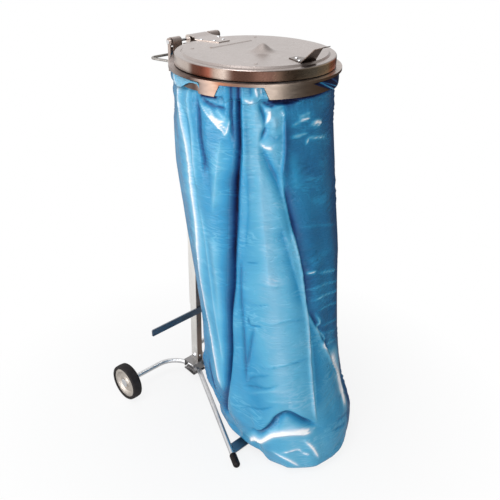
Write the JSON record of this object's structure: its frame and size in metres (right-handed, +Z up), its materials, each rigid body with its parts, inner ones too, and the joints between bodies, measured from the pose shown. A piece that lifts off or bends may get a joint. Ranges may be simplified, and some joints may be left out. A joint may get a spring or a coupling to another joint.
{
  "type": "bin bag holder",
  "caption": "Wheeled bin bag holder: a round hinged lid and clamp ring on a rear post, splayed tube legs, two wheels, a push handle and a hanging film bag.",
  "frame": {"origin": "middle of the underside of the whole holder's box, on the floor", "axes": "+Z up, -Y towards the front where the lid's grip is, +X to the right hand seen from behind the wheels; the left side is -X"},
  "size_m": [0.413, 0.6052, 0.9942],
  "materials": {
    "brushed_steel": "fine brushed, warm grey reflections",
    "tube_steel": "bright zinc plated, smooth",
    "strip_steel": "bluish zinc plated, satin",
    "disc_steel": "pressed sheet, satin",
    "fastener_steel": "bright plated",
    "rubber": "matt black with a faint sheen",
    "film": "thin translucent blue film, glossy, wrinkled"
  },
  "bodies": {
    "stand": {"hinge_pin": "fastener_steel", "head_bracket": "brushed_steel", "base_hoop": "brushed_steel", "push_handle": "tube_steel", "upper_post": "tube_steel", "lower_post": "tube_steel", "cross_strip": "strip_steel", "post_bolt": "fastener_steel", "post_nut": "fastener_steel", "front_screw": "fastener_steel", "leg_saddle": "tube_steel", "saddle_plate": "tube_steel", "saddle_bolt": "fastener_steel", "saddle_nut": "fastener_steel", "left_leg": "tube_steel", "right_leg": "tube_steel", "floor_bar": "strip_steel", "left_foot_cap": "rubber", "right_foot_cap": "rubber", "axle_washers": "disc_steel", "left_axle_cap": "fastener_steel", "right_axle_cap": "fastener_steel", "refuse_bag": "film"},
    "clamp_ring": {"clamp_ring": "brushed_steel"},
    "lid": {"lid": "brushed_steel", "lid_grip": "brushed_steel", "lid_grip_rivets": "brushed_steel", "lid_hinge_plate": "brushed_steel", "lid_hinge_rivets": "brushed_steel"},
    "left_wheel": {"left_tyre": "rubber", "left_wheel_disc": "disc_steel"},
    "right_wheel": {"right_tyre": "rubber", "right_wheel_disc": "disc_steel"}
  },
  "joints": [
    {"name": "clamp_ring_hinge", "type": "hinge", "parent": "stand", "child": "clamp_ring", "pos_m": [0, 0.16562, 0.956], "axis": [-1, 0, 0], "range_deg": [0, 75]},
    {"name": "lid_hinge", "type": "hinge", "parent": "clamp_ring", "child": "lid", "pos_m": [0, 0.16562, 0.956], "axis": [-1, 0, 0], "range_deg": [0, 100]},
    {"name": "left_wheel_spin", "type": "hinge", "parent": "stand", "child": "left_wheel", "pos_m": [-0.1935, 0.25262, 0.05], "axis": [1, 0, 0], "continuous": true},
    {"name": "right_wheel_spin", "type": "hinge", "parent": "stand", "child": "right_wheel", "pos_m": [0.1935, 0.25262, 0.05], "axis": [1, 0, 0], "continuous": true}
  ]
}
